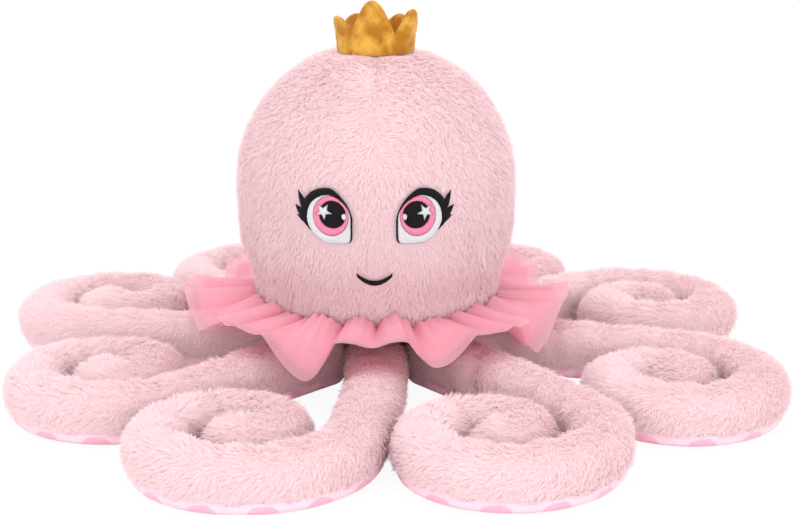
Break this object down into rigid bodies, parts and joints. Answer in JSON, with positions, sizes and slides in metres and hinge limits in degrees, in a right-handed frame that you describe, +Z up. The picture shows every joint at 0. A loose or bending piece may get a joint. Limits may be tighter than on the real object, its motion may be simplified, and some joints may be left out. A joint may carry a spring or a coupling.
{
  "type": "plush octopus",
  "caption": "Stuffed octopus with a round embroidered face, a gathered tulle ruffle, a soft crown and curled arms that lift at their root seams.",
  "frame": {"origin": "middle of the flat underside, on the ground", "axes": "+Z up through the crown, -Y the way the face looks, +X to the right as the picture shows it"},
  "size_m": [0.6136, 0.5999, 0.3011],
  "materials": {
    "pink_plush": "long soft pile",
    "rose_tulle": "fine open net",
    "pink_satin": "printed satin with round spots",
    "filling": "loose polyester fibre",
    "gold_velour": "short velour pile",
    "gold_lining": "short velour pile",
    "black_thread": "machine embroidery",
    "rose_thread": "machine embroidery",
    "white_thread": "machine embroidery"
  },
  "bodies": {
    "head": {"face_panel": "pink_plush", "right_side_panel": "pink_plush", "back_panel": "pink_plush", "left_side_panel": "pink_plush", "head_filling": "filling", "base_panel": "pink_satin", "ruffle_tape": "rose_tulle", "ruffle_upper_layer": "rose_tulle", "ruffle_under_layer": "rose_tulle", "crown_velour": "gold_velour", "crown_lining": "gold_lining", "right_eye_lashes": "black_thread", "right_eye_white": "white_thread", "right_eye_iris": "rose_thread", "right_eye_pupil": "black_thread", "right_eye_star": "white_thread", "right_eye_glint": "white_thread", "left_eye_lashes": "black_thread", "left_eye_white": "white_thread", "left_eye_iris": "rose_thread", "left_eye_pupil": "black_thread", "left_eye_star": "white_thread", "left_eye_glint": "white_thread", "mouth": "black_thread"},
    "arm_1": {"arm_1_plush": "pink_plush", "arm_1_sole": "pink_satin", "arm_1_filling": "filling"},
    "arm_2": {"arm_2_plush": "pink_plush", "arm_2_sole": "pink_satin", "arm_2_filling": "filling"},
    "arm_3": {"arm_3_plush": "pink_plush", "arm_3_sole": "pink_satin", "arm_3_filling": "filling"},
    "arm_4": {"arm_4_plush": "pink_plush", "arm_4_sole": "pink_satin", "arm_4_filling": "filling"},
    "arm_5": {"arm_5_plush": "pink_plush", "arm_5_sole": "pink_satin", "arm_5_filling": "filling"},
    "arm_6": {"arm_6_plush": "pink_plush", "arm_6_sole": "pink_satin", "arm_6_filling": "filling"},
    "arm_7": {"arm_7_plush": "pink_plush", "arm_7_sole": "pink_satin", "arm_7_filling": "filling"},
    "arm_8": {"arm_8_plush": "pink_plush", "arm_8_sole": "pink_satin", "arm_8_filling": "filling"}
  },
  "joints": [
    {"name": "arm_1_lift", "type": "hinge", "parent": "head", "child": "arm_1", "pos_m": [0, -0.062, 0.021], "axis": [-1, 0, 0], "range_deg": [-20, 14]},
    {"name": "arm_2_lift", "type": "hinge", "parent": "head", "child": "arm_2", "pos_m": [0.04384, -0.04384, 0.021], "axis": [-0.7071, -0.7071, 0], "range_deg": [-20, 14]},
    {"name": "arm_3_lift", "type": "hinge", "parent": "head", "child": "arm_3", "pos_m": [0.062, 0, 0.021], "axis": [0, -1, 0], "range_deg": [-20, 14]},
    {"name": "arm_4_lift", "type": "hinge", "parent": "head", "child": "arm_4", "pos_m": [0.04384, 0.04384, 0.021], "axis": [0.7071, -0.7071, 0], "range_deg": [-20, 14]},
    {"name": "arm_5_lift", "type": "hinge", "parent": "head", "child": "arm_5", "pos_m": [0, 0.062, 0.021], "axis": [1, 0, 0], "range_deg": [-20, 14]},
    {"name": "arm_6_lift", "type": "hinge", "parent": "head", "child": "arm_6", "pos_m": [-0.04384, 0.04384, 0.021], "axis": [0.7071, 0.7071, 0], "range_deg": [-20, 14]},
    {"name": "arm_7_lift", "type": "hinge", "parent": "head", "child": "arm_7", "pos_m": [-0.062, 0, 0.021], "axis": [0, 1, 0], "range_deg": [-20, 14]},
    {"name": "arm_8_lift", "type": "hinge", "parent": "head", "child": "arm_8", "pos_m": [-0.04384, -0.04384, 0.021], "axis": [-0.7071, 0.7071, 0], "range_deg": [-20, 14]}
  ]
}
